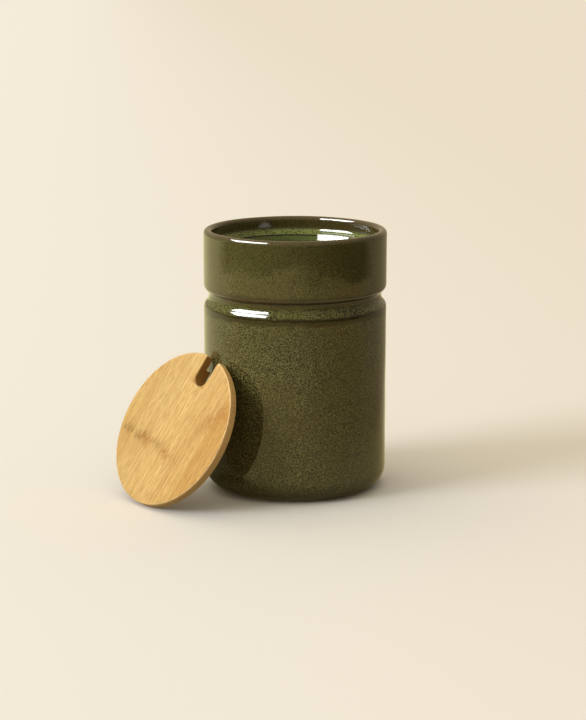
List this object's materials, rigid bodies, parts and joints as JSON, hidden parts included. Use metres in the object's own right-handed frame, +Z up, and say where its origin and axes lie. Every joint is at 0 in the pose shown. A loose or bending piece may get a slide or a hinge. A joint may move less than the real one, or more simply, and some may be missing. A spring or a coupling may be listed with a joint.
{
  "type": "apothecary jar",
  "caption": "Straight round glazed stoneware jar with a groove round its upper wall, and a loose bamboo lid with an open slot that leans against it.",
  "frame": {"origin": "on the jar's axis, in the plane that its foot ring stands on", "axes": "+Z up along the jar's axis; the lid leans on the wall on the -X -Y side, and its outer face looks towards -X -Y and up"},
  "size_m": [0.157, 0.131, 0.1514],
  "materials": {
    "bare_clay": "unglazed fired stoneware, matt",
    "olive_glaze": "glossy dark olive reactive glaze with fine speckle",
    "bamboo": "sanded and oiled, satin"
  },
  "bodies": {
    "jar": {"jar_body": "bare_clay", "glaze_coat": "olive_glaze"},
    "lid": {"lid_strip_1": "bamboo", "lid_strip_2": "bamboo", "lid_strip_3": "bamboo", "lid_strip_4": "bamboo", "lid_strip_5": "bamboo"}
  },
  "joints": [
    {"name": "lid_lift", "type": "slide", "parent": "jar", "child": "lid", "axis": [-0.134, -0.1105, 0.9848], "range_m": [0, 0.16]}
  ]
}
